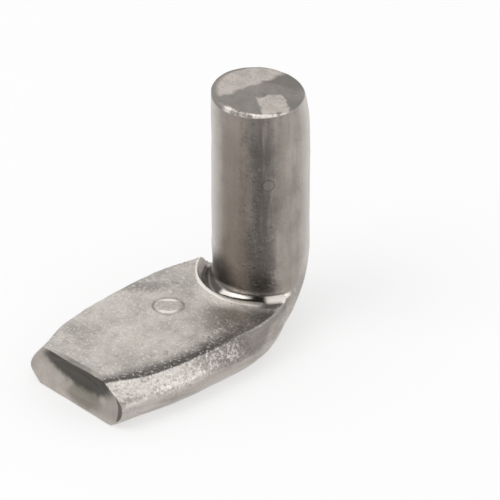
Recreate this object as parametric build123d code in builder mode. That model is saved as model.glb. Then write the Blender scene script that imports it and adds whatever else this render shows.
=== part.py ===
from build123d import *
from math import cos, radians, sin, sqrt
import os

# A weld pin forged from one length of round steel bar. The pin stands up, and
# the foot of the bar is bent over and pressed flat into a leaf-shaped tab.
# Frame: the pin's axis is Z, the tab points along -Y, and Z = 0 is where the
# pin's true round begins. Millimetres.

# Driving dimensions.
PIN_DIAMETER = 9.525      # three-eighths bar
PIN_HEIGHT = 20.8         # from the tab's top flat to the sheared end
TAB_LENGTH = 24.5         # from the pin's axis to the cropped end
TAB_WIDTH = 15.5          # across the widest part of the leaf
TAB_THICKNESS = 4.4       # between the two pressed flats
TAB_END_WIDTH = 12.4      # across the cropped end
BEND_RADIUS = 8.0         # outside of the elbow
TOP_DRAW = 0.68           # how far the top flat's edge lies inside the widest line
FOOT_DRAW = 1.1           # the same at the underside
ROLL_HEIGHT = 4.5         # length the shear has rolled over at the pin's end
ROLL_DEPTH = 0.28         # how much smaller the sheared end has become
END_TILT = 1.8            # degrees off square, towards +X and as much towards +Y
LIP_HEIGHT = 0.34         # crest of the collar round the pin's foot
LIP_REACH = 2.9           # how far the collar fades out from the pin's side
LIP_OFFSET = 1.2          # from the pin's side to the crest
LIP_RISE = 0.16           # how much the collar climbs from its crest to the pin
CREASE_DEPTH = 0.15       # how deep the crease inside the collar goes, below the flat
CREASE_OFFSET = 0.8       # from the pin's side to the crease
FLARE_HEIGHT = 0.45       # where the flare of the pin's foot begins, above the flat
COLLAR_TILT = 7.0         # degrees; the crease is deep on the far side and runs out on the near one
MARK_DIAMETER = 2.2       # round tool mark on the tab, inside its rim and ditch
MARK_RIM = 0.2            # how wide the rim and the ditch are
MARK_DEPTH = 0.07
DISH_LENGTH = 10.0        # hollow across the cropped end
DISH_HEIGHT = 3.2
DISH_DEPTH = 0.6
EDGE_WEAR = 0.15         # worn edge of the sheared end

PIN_RADIUS = PIN_DIAMETER / 2
BEND_Y = PIN_RADIUS - BEND_RADIUS
BEND_Z = BEND_RADIUS - TAB_THICKNESS
ROLL_START = PIN_HEIGHT - ROLL_HEIGHT
STRAIGHT = 0.08           # share of the bend radius that still runs straight
SEAT_Z = BEND_Z + STRAIGHT * BEND_RADIUS   # from the tab's top flat to the true round
SPARE = 0.6               # stock above and below the flats before they are pressed


# Heights below are counted from the tab's top flat.
TAB_TOP = Plane.XY.offset(-SEAT_Z)


def crosswise(distance):
    """Upright plane across the tab, this far along it from the pin's axis."""
    return Plane(origin=(0, -distance, -SEAT_Z), x_dir=(1, 0, 0), z_dir=(0, -1, 0))


def elbow_back(z):
    """Where the outside of the bend lies at this height."""
    return BEND_Y + sqrt(BEND_RADIUS**2 - max(BEND_Z - z, 0) ** 2)


def elbow_floor(y):
    """How low the outside of the bend reaches at this distance along the tab."""
    return BEND_Z - sqrt(max(BEND_RADIUS**2 - (y - BEND_Y) ** 2, 0))


# The elbow, as level slices from the pin's round down to the underside. Each
# is egg-shaped: share of the drop, then its centre line, front and half width
# in pin radii. It spreads as it runs into the tab.
elbow_slices = [
    (-STRAIGHT, 0.0, 1.0, 1.0),
    (0.08, 0.0, 1.0, 1.0),
    (0.34, 0.0, 0.97, 1.0),
    (0.55, 0.22, 1.01, 1.06),
    (0.78, 0.70, 1.3, 1.17),
    (0.92, 1.14, 1.6, 1.26),
    (0.9985, 1.38, 1.8, 1.29),
]
with BuildPart() as elbow:
    for drop, centre, front, width in elbow_slices:
        z = BEND_Z - drop * BEND_RADIUS
        y = -centre * PIN_RADIUS
        with BuildSketch(TAB_TOP.offset(z)):
            with BuildLine():
                EllipticalCenterArc(
                    (0, y), width * PIN_RADIUS, y + front * PIN_RADIUS,
                    start_angle=180, arc_size=180,
                )
                EllipticalCenterArc(
                    (0, y), width * PIN_RADIUS, elbow_back(z) - y,
                    start_angle=0, arc_size=180,
                )
            make_face()
    loft()

# The tab, as upright slices along its length: distance from the pin's axis,
# half width, and how strongly the top and the underside draw in there.
half = TAB_WIDTH / 2
end_half = TAB_END_WIDTH / 2
tab_slices = [
    (-0.6, 0.80 * PIN_RADIUS, 0.2, 0.8),
    (1.0, 1.08 * PIN_RADIUS, 0.3, 1.2),
    (3.0, 0.80 * half, 0.3, 1.3),
    (6.0, 0.95 * half, 0.85, 1.05),
    (10.0, half, 1.0, 1.0),
    (14.0, 0.99 * half, 1.1, 1.05),
    (18.0, 0.955 * half, 1.25, 1.1),
    (TAB_LENGTH - 3.0, 0.45 * half + 0.55 * end_half, 1.7, 1.25),
    (TAB_LENGTH + 0.5, 0.985 * end_half, 2.5, 1.4),
]
with BuildPart() as tab:
    for distance, wide, draw, pull in tab_slices:
        floor = -TAB_THICKNESS
        if distance < 2.2 - BEND_Y:
            floor = elbow_floor(2.2 - distance)
        top_edge = wide - TOP_DRAW * draw
        foot_edge = wide - FOOT_DRAW * pull
        rim = 0.75 * SPARE
        side = [
            (top_edge - rim, SPARE),
            (top_edge, 0),
            (wide - 0.12 * TOP_DRAW * draw, 0.32 * floor),
            (wide - 0.08 * FOOT_DRAW * pull, 0.70 * floor),
            (foot_edge, floor),
            (foot_edge - rim, floor - SPARE),
        ]
        far_side = list(side)
        far_side[2] = (wide - 0.40 * TOP_DRAW * draw, 0.32 * floor)
        with BuildSketch(crosswise(distance)):
            with BuildLine():
                near = Spline(*side)
                far = Spline(*[(-x, z) for x, z in reversed(far_side)])
                Line(near @ 1, far @ 0)
                Line(far @ 1, near @ 0)
            make_face()
    loft()
    # the two pressed flats
    with BuildSketch(TAB_TOP):
        Rectangle(8 * TAB_LENGTH, 8 * TAB_LENGTH)
    extrude(amount=4 * SPARE, mode=Mode.SUBTRACT)
    with BuildSketch(TAB_TOP.offset(-TAB_THICKNESS)):
        Rectangle(8 * TAB_LENGTH, 8 * TAB_LENGTH)
    extrude(amount=-4 * SPARE, mode=Mode.SUBTRACT)
    # the cropped end
    with BuildSketch(crosswise(TAB_LENGTH)):
        Rectangle(8 * TAB_LENGTH, 8 * TAB_LENGTH)
    extrude(amount=TAB_LENGTH, mode=Mode.SUBTRACT)

# The collar pushed up round the pin's foot. It fades out along the tab and
# stops at the tab's own edges, where its ends slope down.
outline = tab.faces().filter_by(Axis.Z).sort_by(Axis.Z)[-1]
crest = PIN_RADIUS + LIP_OFFSET
tail = PIN_RADIUS + LIP_REACH
with BuildPart() as lip:
    with BuildSketch(crosswise(0)):
        with BuildLine():
            slope = Spline(
                (crest, LIP_HEIGHT),
                (crest + 0.35 * (tail - crest), 0.55 * LIP_HEIGHT),
                (tail, -0.02),
                tangents=((1, 0), (1, -0.02)),
            )
            Polyline(
                slope @ 1,
                (tail, -0.25 * TAB_THICKNESS),
                (0.5 * PIN_RADIUS, -0.25 * TAB_THICKNESS),
                (0.5 * PIN_RADIUS, LIP_HEIGHT + LIP_RISE),
                (0.95 * PIN_RADIUS, LIP_HEIGHT + LIP_RISE),
                slope @ 0,
            )
        make_face()
    revolve(axis=Axis.Z)
    extrude(outline, amount=3 * LIP_HEIGHT, both=True, mode=Mode.INTERSECT)
    with BuildSketch(crosswise(0.3 * PIN_RADIUS)):
        with BuildLine():
            Polyline(
                (-tail, -0.25 * TAB_THICKNESS),
                (tail, -0.25 * TAB_THICKNESS),
                (crest + 0.3, 0),
                (crest - 3 * LIP_HEIGHT, 3 * LIP_HEIGHT),
                (-crest + 1.5 * LIP_HEIGHT, 3 * LIP_HEIGHT),
                (-crest - 0.3, 0),
                close=True,
            )
        make_face()
    extrude(amount=2 * tail, mode=Mode.INTERSECT)

with BuildPart() as weld_pin:
    add(tab.part)
    add(lip.part)
    # the crease inside the collar, a tilted funnel that the pin then fills
    lean = Plane(
        origin=(0, 0, -SEAT_Z),
        x_dir=(cos(radians(COLLAR_TILT)), 0, sin(radians(COLLAR_TILT))),
        z_dir=(0, -1, 0),
    )
    with BuildSketch(lean):
        with BuildLine():
            Polyline(
                (0, FLARE_HEIGHT),
                (0.98 * PIN_RADIUS, FLARE_HEIGHT),
                (PIN_RADIUS + CREASE_OFFSET, -CREASE_DEPTH),
                (crest, LIP_HEIGHT),
                (crest + 0.4, 4 * LIP_HEIGHT),
                (0, 4 * LIP_HEIGHT),
                close=True,
            )
        make_face()
    revolve(axis=Axis(lean.origin, lean.y_dir), mode=Mode.SUBTRACT)
    add(elbow.part)
    # the straight pin
    with BuildSketch():
        Circle(PIN_RADIUS)
    extrude(amount=ROLL_START - SEAT_Z)
    # the end the shear rolled over
    with BuildSketch(TAB_TOP.offset(ROLL_START)):
        Circle(PIN_RADIUS)
    with BuildSketch(Plane((-0.2 * ROLL_DEPTH, -0.4 * ROLL_DEPTH, PIN_HEIGHT - SEAT_Z - 0.4 * ROLL_HEIGHT))):
        Circle(PIN_RADIUS - 0.4 * ROLL_DEPTH)
    with BuildSketch(
        Plane(
            origin=(-0.5 * ROLL_DEPTH, -0.9 * ROLL_DEPTH, PIN_HEIGHT - SEAT_Z),
            x_dir=(1, 0, -sin(radians(END_TILT))),
            z_dir=(sin(radians(END_TILT)), sin(radians(END_TILT)), 1),
        )
    ):
        Circle(PIN_RADIUS - ROLL_DEPTH)
    loft()
    chamfer(weld_pin.faces().sort_by(Axis.Z)[-1].edges(), EDGE_WEAR)
    # the hollow in the cropped end, a scoop that turns about a line across it
    scoop = (DISH_HEIGHT**2 / 4 + DISH_DEPTH**2) / (2 * DISH_DEPTH)
    scoop_y = -TAB_LENGTH - scoop + DISH_DEPTH
    scoop_z = -SEAT_Z - 0.39 * TAB_THICKNESS
    with BuildSketch(Plane.XY.offset(scoop_z)):
        with BuildLine():
            bowl = ThreePointArc(
                (-DISH_LENGTH / 2, scoop_y + scoop - DISH_DEPTH),
                (0, scoop_y + scoop),
                (DISH_LENGTH / 2, scoop_y + scoop - DISH_DEPTH),
            )
            Polyline(
                bowl @ 1,
                (DISH_LENGTH / 2, scoop_y),
                (-DISH_LENGTH / 2, scoop_y),
                bowl @ 0,
            )
        make_face()
    revolve(axis=Axis((0, scoop_y, scoop_z), (1, 0, 0)), mode=Mode.SUBTRACT)
    # round tool mark: a flat disc in a raised rim, with a ditch round it
    with BuildSketch(TAB_TOP.offset(-MARK_DEPTH)):
        with Locations((-1.66, -10.0)):
            Circle(MARK_DIAMETER / 2 + 2 * MARK_RIM)
    extrude(amount=4 * MARK_DEPTH, mode=Mode.SUBTRACT)
    with BuildSketch(TAB_TOP.offset(-2 * MARK_DEPTH)):
        with Locations((-1.66, -10.0)):
            Circle(MARK_DIAMETER / 2 + MARK_RIM)
    extrude(amount=3 * MARK_DEPTH, taper=20)
    with BuildSketch(TAB_TOP.offset(2 * MARK_DEPTH)):
        with Locations((-1.66, -10.0)):
            Circle(MARK_DIAMETER / 2)
    extrude(amount=-2.5 * MARK_DEPTH, taper=20, mode=Mode.SUBTRACT)

weld_pin.part.label = "weld_pin"
os.makedirs("parts", exist_ok=True)
export_step(weld_pin.part, "parts/weld_pin.step")
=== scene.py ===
# %% [markdown]
# # A forged weld pin
# This is one piece of hot-forged steel, about as long as a finger joint: a
# round pin that is bent at its foot into a flat leaf. The metal is bare, so
# nearly all that the eye reads is reflection, and the lesson is about that:
# a mesh with soft worn edges, a steel that changes from place to place, and a
# plain white room for the steel to mirror.

# %% Tools and the measured part
import math

import bpy
from mathutils import Matrix, Vector


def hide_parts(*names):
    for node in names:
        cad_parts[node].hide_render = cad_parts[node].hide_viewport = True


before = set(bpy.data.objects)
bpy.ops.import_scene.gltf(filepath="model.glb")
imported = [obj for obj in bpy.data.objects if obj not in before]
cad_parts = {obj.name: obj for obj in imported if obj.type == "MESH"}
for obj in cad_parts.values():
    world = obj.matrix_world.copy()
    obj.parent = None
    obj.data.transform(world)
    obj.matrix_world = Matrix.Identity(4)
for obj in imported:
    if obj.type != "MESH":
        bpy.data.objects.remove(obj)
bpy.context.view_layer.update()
steel_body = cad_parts["weld_pin"]
MM = 0.001
print("faces in the measured part:", len(steel_body.data.polygons))

# %% [markdown]
# The levels below are the part's own, in millimetres: the origin lies on the
# pin's axis where its true round begins, the tab's top flat is a little lower,
# and the tab runs along -Y. The leaf is widest in its middle and curves in
# from there. The last line says how far the cropped end was set back: all of
# it, more on the near side, and more again at the top there.

# %% Levels on the part
TAB_TOP = -4.24
TAB_UNDER = -8.64
TAB_END = -24.5
PIN_END = 16.56
PIN_RADIUS = 4.7625
CREST_RADIUS = 5.96
END_HALF = 6
LEAF_MIDDLE, LEAF_HALF, LEAF_CURVE = -11.5, 6.75, 0.016
MARK = (-1.66, -10.0)
MARK_SHIFT = -0.6
SET_BACK, SET_BACK_NEAR, SET_BACK_HIGH = 0.2, 0.15, 0.35
print("tab is", round(TAB_TOP - TAB_UNDER, 2), "mm thick")

# %% [markdown]
# The camera comes first, because every later choice is judged through it. A
# small part is photographed with a long lens from more than half a metre, so
# its edges hardly converge. The camera sits on a ray from the foot of the
# pin, and slides a little sideways so that the part lands where it should.

# %% Camera
AZIMUTH, ELEVATION = math.radians(47.3), math.radians(33.0)
AWAY, LEFT, UP = 585.37, 1.024, 2.146
right = Vector((math.cos(AZIMUTH), math.sin(AZIMUTH), 0))
back = Vector(
    (
        math.sin(AZIMUTH) * math.cos(ELEVATION),
        -math.cos(AZIMUTH) * math.cos(ELEVATION),
        math.sin(ELEVATION),
    )
)
above = back.cross(right)
pin_foot = Vector((0, 0, TAB_TOP * MM))
place = pin_foot + (AWAY * back - LEFT * right + UP * above) * MM

bpy.ops.object.select_all(action="DESELECT")
bpy.ops.object.camera_add(location=place)
camera = bpy.context.object
camera.name = "long_lens"
camera.rotation_euler = Matrix((right, above, back)).transposed().to_euler()
camera.data.sensor_width = 36
camera.data.lens = 432
camera.data.clip_start = 0.05
camera.data.clip_end = 20
bpy.context.scene.camera = camera
print("camera stands", round(place.length * 1000), "mm from the part")

# %% [markdown]
# The measured part is made of loose triangles with knife edges. A real
# forging has edges that the dies and the tumbling barrel have rounded. So a
# copy is merged into one skin, rebuilt as small even squares, and smoothed a
# little. The squares are about a seventh of a millimetre: fine enough to keep
# the crease round the pin's foot, and few enough for a piece of 200,000
# triangles, two to a square.

# %% One skin with worn edges
MERGE_GAP = 0.002 * MM
SQUARE = 0.142 * MM
bpy.ops.object.select_all(action="DESELECT")
steel_body.select_set(True)
bpy.context.view_layer.objects.active = steel_body
bpy.ops.object.duplicate()
skin = bpy.context.object
skin.name = "forged_skin"
bpy.ops.object.mode_set(mode="EDIT")
bpy.ops.mesh.select_all(action="SELECT")
bpy.ops.mesh.remove_doubles(threshold=MERGE_GAP)
bpy.ops.mesh.customdata_custom_splitnormals_clear()
bpy.ops.object.mode_set(mode="OBJECT")
print("merged skin:", len(skin.data.vertices), "points")

remesh = skin.modifiers.new("even_squares", "REMESH")
remesh.mode = "VOXEL"
remesh.voxel_size = SQUARE
remesh.use_smooth_shade = True
bpy.ops.object.modifier_apply(modifier=remesh.name)
relax = skin.modifiers.new("worn_edges", "SMOOTH")
relax.factor = 0.5
relax.iterations = 2
bpy.ops.object.modifier_apply(modifier=relax.name)
corners = sum(len(face.vertices) for face in skin.data.polygons)
print("even skin:", corners - 2 * len(skin.data.polygons), "triangles")

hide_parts("weld_pin")

# %% [markdown]
# A forged face is never quite flat. It waves by a few hundredths of a
# millimetre, and that is what breaks up its reflections. The Displace
# modifier moves the points of the skin by soft cloudy noise.

# %% Slow waves of the hammered faces
WAVE_SIZE, WAVE_HEIGHT = 2.6 * MM, 0.12 * MM
swell = bpy.data.textures.new("slow_waves", type="CLOUDS")
swell.noise_scale = WAVE_SIZE
swell.noise_depth = 1
waves = skin.modifiers.new("slow_waves", "DISPLACE")
waves.texture = swell
waves.texture_coords = "LOCAL"
waves.strength = WAVE_HEIGHT
waves.mid_level = 0.5
bpy.ops.object.modifier_apply(modifier=waves.name)
print("waves of", round(WAVE_HEIGHT / MM, 2), "mm")

# %% [markdown]
# Four small things are pulled one by one. The cropped end is not square: its
# top near corner lies furthest back. Along the near side the top edge is
# drawn in a little more than on the far side. The round tool mark sits
# a little over half a millimetre further out, and at its near end the collar falls away
# outward, so that it mirrors the bright room and not the dark foot of the
# pin. Each is a soft pull on the points of the skin with a smooth fall-off,
# as proportional editing would give it.

# %% Pulls
def ease(value, low, high):
    share = min(max((value - low) / (high - low), 0), 1)
    return share * share * (3 - 2 * share)


for point in skin.data.vertices:
    x, y, z = point.co / MM
    high = (z - TAB_UNDER) / (TAB_TOP - TAB_UNDER)
    near = (x + END_HALF) / (2 * END_HALF)
    set_back = SET_BACK + SET_BACK_NEAR * near + SET_BACK_HIGH * near * high
    drawn_in = 0.35 + 0.3 * ease(-y, 18, 24)
    point.co.y += ease(-y, 19, 24.5) * set_back * MM
    by_mark = (1 - ease(math.dist((x, y), MARK), 1.7, 3.4)) * ease(z, -6, -5)
    point.co.y += by_mark * MARK_SHIFT * MM
    radius, turn = math.hypot(x, y), math.degrees(math.atan2(x, -y))
    falls = ease(radius, 4.9, 5.9) * (1 - ease(radius, 6.0, 6.8))
    falls *= ease(turn, 44, 58) * (1 - ease(turn, 88, 100))
    point.co.z -= falls * ease(z, -4.9, -4.5) * 0.34 * MM
    point.co.x -= ease(x, 1, 4) * ease(-y, 5, 11) * ease(high, 0.55, 0.97) * drawn_in * MM
most = SET_BACK + SET_BACK_NEAR + SET_BACK_HIGH
print("the end is set back by up to", round(most, 2), "mm")

# %% [markdown]
# Shader maths reads best as plain sums. This small class wraps a socket, so
# that masks can be added, multiplied and turned round like numbers, and one
# method makes any other node.

# %% A small language for shaders
class Wire:
    tree = None

    def __init__(self, socket):
        self.socket = socket

    @classmethod
    def node(cls, kind, settings=None, **inputs):
        made = cls.tree.nodes.new("ShaderNode" + kind)
        for name, value in (settings or {}).items():
            setattr(made, name, value)
        for name, value in inputs.items():
            socket = made.inputs[int(name[1:]) if name[0] == "_" else name.replace("_", " ")]
            if isinstance(value, Wire):
                cls.tree.links.new(value.socket, socket)
            else:
                socket.default_value = value
        return made

    @classmethod
    def maths(cls, operation, *values):
        sockets = {f"_{i}": value for i, value in enumerate(values)}
        made = cls.node("Math", {"operation": operation}, **sockets)
        return Wire(made.outputs[0])

    def __add__(self, other):
        return Wire.maths("ADD", self, other)

    __radd__ = __add__

    def __sub__(self, other):
        return Wire.maths("SUBTRACT", self, other)

    def __rsub__(self, other):
        return Wire.maths("SUBTRACT", other, self)

    def __mul__(self, other):
        return Wire.maths("MULTIPLY", self, other)

    __rmul__ = __mul__

    def __truediv__(self, other):
        return Wire.maths("DIVIDE", self, other)

    def between(self, low, high):
        """0 below low, 1 above high, and a soft step in the middle."""
        made = Wire.node(
            "MapRange", {"interpolation_type": "SMOOTHSTEP", "clamp": True},
            Value=self, From_Min=low, From_Max=high, To_Min=0.0, To_Max=1.0,
        )
        return Wire(made.outputs[0])

    def band(self, low, high, soft):
        """1 between low and high, with soft borders."""
        return self.between(low - soft, low + soft) * (1 - self.between(high - soft, high + soft))

    def beyond(self, other):
        return Wire.maths("MAXIMUM", self, other)


def distance(u, v):
    return Wire.maths("SQRT", u * u + v * v)


def noise(place, size, detail=3.0, roughness=0.55, stretch=(1, 1, 1), shift=(0, 0, 0)):
    """Cloudy noise whose lumps are about this many millimetres across."""
    spread = Wire.node("Mapping", _0=place, _1=shift, _3=[s / size for s in stretch])
    made = Wire.node(
        "TexNoise", {"noise_dimensions": "3D"},
        Vector=Wire(spread.outputs[0]), Scale=1.0, Detail=detail, Roughness=roughness,
    )
    return Wire(made.outputs[0])


def pits(place, size, shift=(0, 0, 0)):
    """Round pits about this far apart: 1 at a pit's middle, 0 between pits."""
    spread = Wire.node("Mapping", _0=place, _1=shift, _3=[1 / size] * 3)
    made = Wire.node("TexVoronoi", {"feature": "F1"}, Vector=Wire(spread.outputs[0]), Scale=1.0)
    return 1 - Wire(made.outputs["Distance"]).between(0.08, 0.55)


def tone(red, green, blue):
    """A colour as a paint box shows it, 0 to 255, made linear for the renderer."""
    return tuple(((c / 255 + 0.055) / 1.055) ** 2.4 for c in (red, green, blue)) + (1,)


def blend(mask, first, second):
    """The first colour where the mask is 0 and the second where it is 1."""
    made = Wire.node("Mix", {"data_type": "RGBA"}, _0=mask, _6=first, _7=second)
    return Wire(made.outputs[2])


print("methods of a wire:", [name for name in vars(Wire) if name[0] != "_"])

# %% [markdown]
# Where a mark lies on the part is said in plain millimetres. This cell turns
# the Object coordinates into them, finds the distance and the angle round the
# pin, and tells the part's faces apart. The noises are shared by all faces.
# The steel is made here, and every paint below adds its nodes to it.

# %% Where on the part
class Places:
    def __init__(self):
        where = Wire(Wire.node("TexCoord").outputs["Object"])
        in_mm = Wire.node("VectorMath", {"operation": "SCALE"}, _0=where, Scale=1 / MM)
        self.spot = Wire(in_mm.outputs[0])
        axes = Wire.node("SeparateXYZ", _0=self.spot)
        self.x, self.y, self.z = (Wire(axes.outputs[i]) for i in range(3))
        self.radius = distance(self.x, self.y)
        self.turn = Wire.maths("ARCTAN2", self.x, 0 - self.y) * math.degrees(1)
        self.arc = self.turn * math.radians(PIN_RADIUS)

        self.clouds = noise(self.spot, 4.5, 4.0, 0.6)
        self.blotches = noise(self.spot, 1.7, 4.0, 0.65, shift=(3, 1, 7))
        self.ragged = noise(self.spot, 0.9, 4.0, 0.7, shift=(8, 2, 5))
        self.grain = noise(self.spot, 0.32, 3.0, 0.7)
        self.specks = noise(self.spot, 0.17, 2.0, 0.6, shift=(5, 5, 1))
        self.streaks = noise(self.spot, 0.7, 3.0, 0.6, stretch=(1, 1, 0.1))
        self.drawn = noise(self.spot, 0.8, 3.0, 0.6, stretch=(1, 0.12, 1), shift=(2, 2, 2))

        fade = 0.25 + self.y.between(-1.0, 2.5) * 2.75
        self.pin = ((self.z - TAB_TOP - 0.15) / fade).between(0.0, 1.0)
        self.pin = self.pin * (1 - self.radius.between(4.95, 5.1))
        self.pin_end = self.z.between(PIN_END - 0.45, PIN_END - 0.3)
        self.top = self.z.between(TAB_TOP - 0.2, TAB_TOP - 0.08) * (1 - self.pin)
        high = (self.z - TAB_UNDER) / (TAB_TOP - TAB_UNDER)
        near = (self.x + END_HALF) / (2 * END_HALF)
        self.from_end = self.y - TAB_END - SET_BACK
        self.from_end -= near * SET_BACK_NEAR + near * high * SET_BACK_HIGH
        self.cut_end = 1 - self.from_end.between(0.05, 0.16)
        from_mid = self.y - LEAF_MIDDLE
        self.near_edge = LEAF_HALF - from_mid * from_mid * LEAF_CURVE

    def blot(self, u, v, centre, radii, rag=0.7, core=0.7):
        """1 inside an oval whose border is ragged; a small core makes it soft."""
        reach = distance((u - centre[0]) / radii[0], (v - centre[1]) / radii[1])
        return 1 - (reach + (self.ragged - 0.5) * rag).between(core, 1.15)


metal = bpy.data.materials.new("bare_forged_steel")
metal.use_nodes = True
Wire.tree = metal.node_tree
Wire.tree.nodes.clear()
at = Places()
print("nodes that say where:", len(Wire.tree.nodes))

# %% [markdown]
# The tab's top flat was pressed by a die and then barrelled: pale and satin,
# with fine specks and a smudge of scale. Just inside the near edge, where the
# press left it a little lower, a dark band is painted shade. Round the pin's
# foot the crest of the collar carries a painted highlight and the crease
# painted shade. Each paint is a stack of blends: a mask, what lies below, and a tone.

# %% Tab's top flat
def collar_colour(steel):
    # Painted shade in the crease round the pin's foot, inside the crest.
    shaded_foot = 1 - at.radius.between(CREST_RADIUS - 0.12, CREST_RADIUS - 0.04)
    shaded_foot = shaded_foot * (1 - at.y.between(-0.8, -0.2))
    steel = blend(shaded_foot * 0.9, steel, tone(60, 57, 53))
    # Painted highlights: the flare inside the crest, the patch on its near side and the crest
    # itself.
    flare_highlight = shaded_foot * (1 - at.radius.between(5.36, 5.46)) * at.turn.band(0, 38, 4)
    patch_highlight = shaded_foot * at.turn.between(49, 55) * (1 - at.turn.between(84, 90))
    crest = at.radius.between(5.8, 5.9) * at.z.between(TAB_TOP + 0.21, TAB_TOP + 0.27)
    crest_highlight = crest * (1 - at.turn.between(70, 84))
    return blend(crest_highlight.beyond(flare_highlight).beyond(patch_highlight) * 0.92, steel, tone(240, 235, 228))


def tab_top_colour():
    x, y, z = at.x, at.y, at.z
    steel = blend(at.clouds.between(0.3, 0.68), tone(166, 160, 154), tone(200, 194, 187))
    steel = blend(at.blotches.between(0.4, 0.72) * 0.5, steel, tone(212, 206, 200))
    pale = at.blot(x, y, (0.5, -16.5), (5.0, 4.0), core=0.2)
    steel = blend(pale * 0.5, steel, tone(210, 203, 196))
    along, across = (x + y) * math.sqrt(0.5), (x - y) * math.sqrt(0.5)
    smudge = at.blot(along, across, (-11.3, 3.1), (3.2, 1.3), 1.2, 0.2)
    steel = blend(smudge * 0.6, steel, tone(116, 112, 107))
    brown = at.blot(x, y, (3.4, -8.4), (3.0, 2.8), 1.4, 0.2)
    steel = blend(brown * 0.55, steel, tone(142, 133, 125))
    lit = at.blot(x, y, (1.6, -6.6), (2.2, 1.0), 1.2, 0.2)
    steel = blend(lit * 0.6, steel, tone(206, 198, 190))
    # Painted shade: a dark band just inside the near edge, where the top dips a little.
    inward = at.near_edge - x + (at.ragged - 0.5) * 1.1 + (at.grain - 0.5) * 0.5
    near_edge_shade = (1 - inward.between(0.2, 2.1)) * (1 - y.between(-13.0, -6.0) * 0.6)
    steel = blend(near_edge_shade * 0.95, steel, tone(84, 81, 79))
    steel = blend(at.grain.between(0.52, 0.66) * 0.5, steel, tone(232, 227, 221))
    steel = blend(at.ragged.between(0.55, 0.66) * 0.35, steel, tone(136, 131, 127))
    steel = blend(at.specks.between(0.56, 0.72) * 0.5, steel, tone(122, 118, 114))
    mark_x, mark_y = x - MARK[0], y - MARK[1] - MARK_SHIFT
    mark = distance(mark_x, mark_y)
    diagonal = mark_x * 0.735 - mark_y * 0.678
    # Painted highlights on two opposite sides of the mark's rim, and painted shade in its ditch
    # elsewhere.
    lit_sides = (diagonal * diagonal).between(0.45, 0.95)
    rim_highlight, ditch_shade = mark.band(0.9, 1.3, 0.12), mark.band(1.38, 1.64, 0.12)
    steel = blend(rim_highlight * lit_sides * 0.85, steel, tone(240, 235, 230))
    steel = blend(ditch_shade * (1 - lit_sides * 0.6) * 0.7, steel, tone(110, 105, 101))
    return collar_colour(steel)


top_paint = tab_top_colour()
print("nodes with the tab's top:", len(Wire.tree.nodes))

# %% [markdown]
# The pin's side was drawn through a die, which leaves upright streaks. Its
# front carries a band of rough scale with small pits, painted dark both as scale
# and as a painted dark reflection. Its edges carry painted highlights, and the
# foot is darkest with painted shade.

# %% Pin's side
def pin_colour():
    steel = blend(at.clouds.between(0.3, 0.7), tone(148, 141, 134), tone(172, 164, 157))
    fades = 1 - at.z.between(12.0, 16.0) * 0.25
    brown = at.turn.band(-6, 38, 16)
    steel = blend(brown * fades * 0.7, steel, tone(134, 125, 116))
    # Partly scale, partly painted dark reflection: the dark band down the pin's front.
    wander = (at.ragged - 0.5) * 22 + (at.blotches - 0.5) * 22
    scale_and_dark_reflection = (at.turn + wander).band(31, 64, 15)
    scale_and_dark_reflection = scale_and_dark_reflection * (0.5 + 0.5 * at.streaks.between(0.3, 0.6))
    steel = blend(scale_and_dark_reflection * fades * 0.95, steel, tone(84, 80, 78))
    glints = at.ragged.between(0.52, 0.66) * at.grain.between(0.45, 0.6)
    glints = glints * at.turn.band(28, 70, 10)
    steel = blend(glints * 0.6, steel, tone(158, 154, 152))
    steel = blend(at.streaks.between(0.4, 0.62) * 0.25, steel, tone(122, 116, 110))
    # Painted highlights: the pale flanks at both edges of the pin.
    left = (1 - at.turn.between(-34, 4)) * at.turn.between(-100, -60)
    right_flank_highlight = at.turn.between(90, 124) * (1 - at.turn.between(145, 175)) * 0.85
    pale = left.beyond(right_flank_highlight)
    steel = blend(pale * 0.85, steel, tone(214, 208, 203))
    # Painted shade: dark blots and a band round the foot of the pin.
    shaded_foot = at.blot(at.arc, at.z, (-0.9, -2.3), (3.0, 2.4), 0.5, 0.1)
    shaded_foot = shaded_foot.beyond(at.blot(at.arc, at.z, (4.2, -2.9), (1.9, 1.7), 0.6, 0.1) * 0.78)
    shaded_foot = shaded_foot.beyond(at.z.band(-4.2, -3.75, 0.12) * at.turn.band(-40, 70, 10) * 0.8)
    steel = blend(shaded_foot * 0.9, steel, tone(58, 55, 53))
    # A small dent half-way up is only painted: a dark ring and a darker middle of painted shade.
    dent_shade_ring = distance(at.arc - 4.65, at.z - 8.7) + (at.grain - 0.5) * 0.15
    steel = blend(dent_shade_ring.band(0.5, 0.68, 0.08) * 0.4, steel, tone(72, 69, 67))
    steel = blend((1 - dent_shade_ring.between(0.4, 0.6)) * 0.35, steel, tone(136, 131, 126))
    return blend(at.grain.between(0.55, 0.74) * 0.35, steel, tone(100, 95, 92))


pin_paint = pin_colour()
print("nodes with the pin's side:", len(Wire.tree.nodes))

# %% [markdown]
# The pin was sheared off the bar. The blade smeared the metal in flat
# patches that catch the light, with torn dark metal between and behind them,
# and it left a thin burr along the front, painted bright as a highlight.

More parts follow.
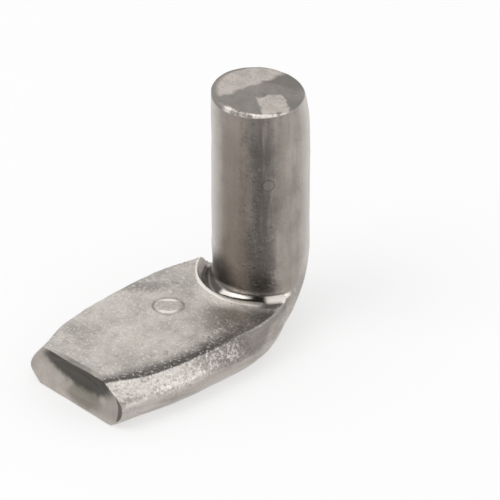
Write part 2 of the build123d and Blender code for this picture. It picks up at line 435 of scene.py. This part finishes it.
# %% Sheared end
def sheared_colour():
    x, y = at.x + (at.ragged - 0.5) * 1.3, at.y + (at.blotches - 0.5) * 1.5
    steel = blend(at.clouds.between(0.35, 0.65), tone(126, 122, 117), tone(148, 142, 136))
    left = (1 - (x - y * 0.12).between(-1.5, -0.8)) * (1 - at.radius.between(3.9, 4.5))
    worn = 0.6 + 0.4 * at.blotches.between(0.3, 0.6)
    steel = blend(left * worn, steel, tone(196, 187, 181))
    u, v = x * 0.86 - y * 0.5, x * 0.5 + y * 0.86
    flake = u.band(1.15, 4.25, 0.15) * v.band(-0.7, 1.95, 0.15)
    worn = 0.75 + 0.25 * at.blotches.between(0.35, 0.6)
    steel = blend(flake * worn, steel, tone(196, 188, 181))
    behind = (y - x * 0.5).between(1.2, 2.2) * (1 - left)
    steel = blend(behind * 0.6, steel, tone(108, 105, 102))
    # Painted highlight along the burr at the front edge.
    burr_highlight = at.radius.between(4.33, 4.42) * at.turn.band(0, 102, 6)
    steel = blend(burr_highlight * at.blotches.between(0.35, 0.5) * 0.9, steel, tone(238, 230, 224))
    return blend(at.grain.between(0.5, 0.7) * 0.35, steel, tone(104, 100, 97))


sheared_paint = sheared_colour()
print("nodes with the sheared end:", len(Wire.tree.nodes))

# %% [markdown]
# The sides of the leaf were not touched by the dies. Metal was squeezed out
# there, and the upper half of it is pitted like hammered tin, with a painted
# highlight towards the end and painted shade nearer the elbow, while the lower
# half is smoother, with faint lines along it. The elbow is the old skin of the bar.

# %% Leaf's sides, elbow and cropped end
def side_colour():
    x, y, z = at.x, at.y, at.z
    steel = blend(at.drawn.between(0.3, 0.7), tone(160, 152, 146), tone(190, 183, 177))
    step = -5.8 + (-18.0 - y) * 0.07
    # Painted highlight on the upper band towards the end, painted shade on it nearer the elbow.
    upper = (z - step + (at.ragged - 0.5) * 0.6).between(-0.15, 0.15) * x.between(3.0, 4.5)
    upper_band_lit = 1 - (y + (at.blotches - 0.5) * 4.0).between(-18.0, -11.0)
    steel = blend(upper * upper_band_lit * 0.85, steel, tone(216, 210, 204))
    upper_band_shaded = (1 - upper_band_lit) * (1 - y.between(-10.0, -6.0))
    steel = blend(upper * upper_band_shaded * 0.75, steel, tone(124, 117, 114))
    hammered = (z - step - 0.9 * (1 - upper_band_lit)).between(-1.2, 0.1) * x.between(3.0, 4.5)
    hammered = hammered * (1 - (y + (at.ragged - 0.5) * 4.0).between(-10.5, -6.5))
    # Painted glints as bright flecks, and painted shade in the pits of the hammered band.
    pit_shade = pits(at.spot, 0.42, (1, 2, 3)) * at.ragged.between(0.4, 0.6)
    steel = blend(hammered * at.grain.between(0.46, 0.6) * 0.6, steel, tone(236, 231, 226))
    steel = blend(hammered * pit_shade * 0.55, steel, tone(112, 105, 102))
    # Painted shade: a soft dark line just under the top near edge, where the top meets the bend.
    reach = -5.1 - y.band(-9.5, -6.0, 1.2) * 1.3
    under_edge_shade = (z - reach + 0.8 * (at.ragged - 0.5)).between(-0.5, 0.5)
    under_edge_shade = under_edge_shade * y.band(-10.0, -0.8, 1.5)
    steel = blend(under_edge_shade * x.between(2.0, 4.0) * 0.62, steel, tone(106, 101, 96))
    return blend(at.specks.between(0.56, 0.72) * 0.5, steel, tone(112, 106, 103))


def cropped_colour():
    x, z = at.x, at.z
    steel = blend(at.clouds.between(0.35, 0.65), tone(158, 151, 145), tone(186, 178, 171))
    # Painted shade in the scoop: greenish grey and darker in its lower part, darkest under its
    # roof.
    hollow_shade = at.blot(x, z, (1.0, -7.3), (3.1, 1.15), 0.5, 0.5)
    steel = blend(hollow_shade * 0.8, steel, tone(126, 122, 111))
    roof_shade = at.blot(x, z, (0.4, -4.8), (4.7, 2.0), 0.3, 0.8)
    steel = blend(roof_shade * 0.94, steel, tone(74, 71, 67))
    # Painted shade: a thin dark line along the end's near corner.
    above_mid = z + 6.4
    corner_shade = x - 6.05 + above_mid * above_mid * (0.1 + 0.3 * above_mid.between(-0.2, 0.2))
    steel = blend(corner_shade.between(-0.07, 0.0) * 0.8, steel, tone(84, 78, 75))
    return blend(at.grain.between(0.55, 0.72) * 0.3, steel, tone(116, 112, 107))


side_paint, cropped_paint = side_colour(), cropped_colour()
print("nodes with the leaf's sides and end:", len(Wire.tree.nodes))

# %% [markdown]
# The paints are laid over one another, from the sides inward. The scoop in
# the cropped end takes the end's paint. The crease gets dark painted shade, and
# the pin comes last because it covers the collar's middle.

# %% Faces put together
colour = blend(at.top, side_paint, top_paint)
scoop = at.blot(at.x, at.z, (0, -5.96), (5.6, 1.9), 0)
scoop = scoop * (1 - at.from_end.between(0.62, 0.72))
colour = blend(at.cut_end.beyond(scoop), colour, cropped_paint)
# Painted shade in the crease round the collar's far side.
crease_shade = at.radius.band(4.95, 5.75, 0.1)
crease_shade = crease_shade * at.z.between(-5.6, -5.3) * (1 - at.z.between(TAB_TOP - 0.3, TAB_TOP - 0.05))
crease_shade = crease_shade * (1 - at.y.between(-2.7, -2.3)) * (1 - at.x.between(2.0, 3.0))
colour = blend(crease_shade * 0.9, colour, tone(66, 62, 58))
colour = blend(at.pin, colour, pin_paint)
colour = blend(at.pin_end, colour, sheared_paint)
print("nodes in the whole colour:", len(Wire.tree.nodes))

# %% [markdown]
# The relief is in real millimetres: fine grain everywhere, streaks up the pin
# and along the sides, and pits where the metal was left rough. The pitted
# places are also a little less glossy than the rubbed ones.

# %% Relief
hammered = at.z.between(-6.1, -5.6) * (1 - at.pin)
hammered = hammered * at.x.between(3.0, 4.8) * (1 - at.y.between(-9.5, -6.0))
scaly = at.pin * at.turn.band(22, 72, 12)
pitted = (hammered.beyond(scaly) * 0.9 + 0.1) * at.ragged.between(0.38, 0.6)
grain = at.blotches * 0.035 + at.grain * 0.012
lines = at.streaks * at.pin * 0.016 + at.drawn * (1 - at.pin) * (1 - at.top) * 0.012
holes = pits(at.spot, 0.5) * 0.05 + pits(at.spot, 0.31, (4, 4, 4)) * 0.03
relief = grain + lines - holes * pitted
bump = Wire.node("Bump", Height=relief, Strength=1.0, Distance=MM)
rough = 0.33 + at.blotches * 0.12 + pitted * 0.08 + at.specks * 0.06
print("nodes with the relief:", len(Wire.tree.nodes))

# %% [markdown]
# One bare metal carries it all. The painted tone, the metal's own colour together with
# the painted light and shade, is its base colour, which a mirror of a white room shows almost as
# it is written.

# %% Forged steel
shader = Wire.node(
    "BsdfPrincipled", Base_Color=colour, Roughness=rough, Metallic=1.0,
    Normal=Wire(bump.outputs[0]),
)
output = Wire.node("OutputMaterial")
Wire.tree.links.new(shader.outputs[0], output.inputs[0])
skin.data.materials.clear()
skin.data.materials.append(metal)
print("nodes in the steel:", len(Wire.tree.nodes))

# %% [markdown]
# The part lies on a wide white table with nothing near it. The white comes
# from the surroundings themselves: the camera and every mirror-like ray see a
# plain white room, and half of the table's own white is a steady glow, which
# keeps the part's shadow soft and faint. The table lies a hair below the
# part, because the waves reach a little lower than the flat underside did.

# %% Table and surroundings
bpy.ops.object.select_all(action="DESELECT")
bpy.ops.mesh.primitive_plane_add(size=6, location=(0, 0, (TAB_UNDER - 0.06) * MM))
table = bpy.context.object
table.name = "pale_table"

table_white = bpy.data.materials.new("table_white")
table_white.use_nodes = True
Wire.tree = table_white.node_tree
Wire.tree.nodes.clear()
rays = Wire.node("LightPath")
seen = Wire(rays.outputs["Is Camera Ray"])
mirrored = Wire(rays.outputs["Is Glossy Ray"]).beyond(Wire(rays.outputs["Is Transmission Ray"]))
sheet = Wire.node("BsdfDiffuse", Color=blend(seen, (0.7, 0.7, 0.7, 1), (1.0, 1.0, 1.0, 1)))
glow = Wire.node("Emission", Color=(1, 1, 1, 1), Strength=1.0)
share = mirrored.beyond(seen * 0.55)
either = Wire.node("MixShader", _0=share, _1=Wire(sheet.outputs[0]), _2=Wire(glow.outputs[0]))
end = Wire.node("OutputMaterial")
Wire.tree.links.new(either.outputs[0], end.inputs[0])
table.data.materials.append(table_white)

world = bpy.data.worlds.new("white_room")
bpy.context.scene.world = world
world.use_nodes = True
Wire.tree = world.node_tree
Wire.tree.nodes.clear()
rays = Wire.node("LightPath")
mirrored = Wire(rays.outputs["Is Glossy Ray"]).beyond(Wire(rays.outputs["Is Transmission Ray"]))
mirrored = mirrored.beyond(Wire(rays.outputs["Is Camera Ray"]))
room = Wire.node("Background", Color=(1, 1, 1, 1), Strength=0.8 + 0.2 * mirrored)
end = Wire.node("OutputWorld")
Wire.tree.links.new(room.outputs[0], end.inputs[0])
print("white room round", table.name)

# %% [markdown]
# In an all-white room the steel shows the tones it was painted with, which
# is how a product photographer's light tent works. Two weak soft boxes add the
# rest: one from the upper left gives the edges a glint and the part a faint
# shadow, and one low on the right lifts the elbow.

# %% Two soft boxes
def ray_to(azimuth, elevation):
    a, e = math.radians(azimuth), math.radians(elevation)
    return Vector((math.sin(a) * math.cos(e), -math.cos(a) * math.cos(e), math.sin(e)))


def softbox(name, azimuth, elevation, width, height, power):
    ray = ray_to(azimuth, elevation)
    bpy.ops.object.light_add(type="AREA", location=ray * 0.6)
    lamp = bpy.context.object
    lamp.name = name
    lamp.rotation_euler = ray.to_track_quat("Z", "Y").to_euler()
    lamp.data.shape = "RECTANGLE"
    lamp.data.size, lamp.data.size_y = width, height
    lamp.data.energy = power
    print(name, "gives", power, "W")


softbox("key_left", -20, 55, 0.35, 0.35, 0.8)
softbox("side_strip", 112, 12, 0.25, 0.12, 0.2)

bpy.context.scene.view_settings.view_transform = "Standard"

# %% [markdown]
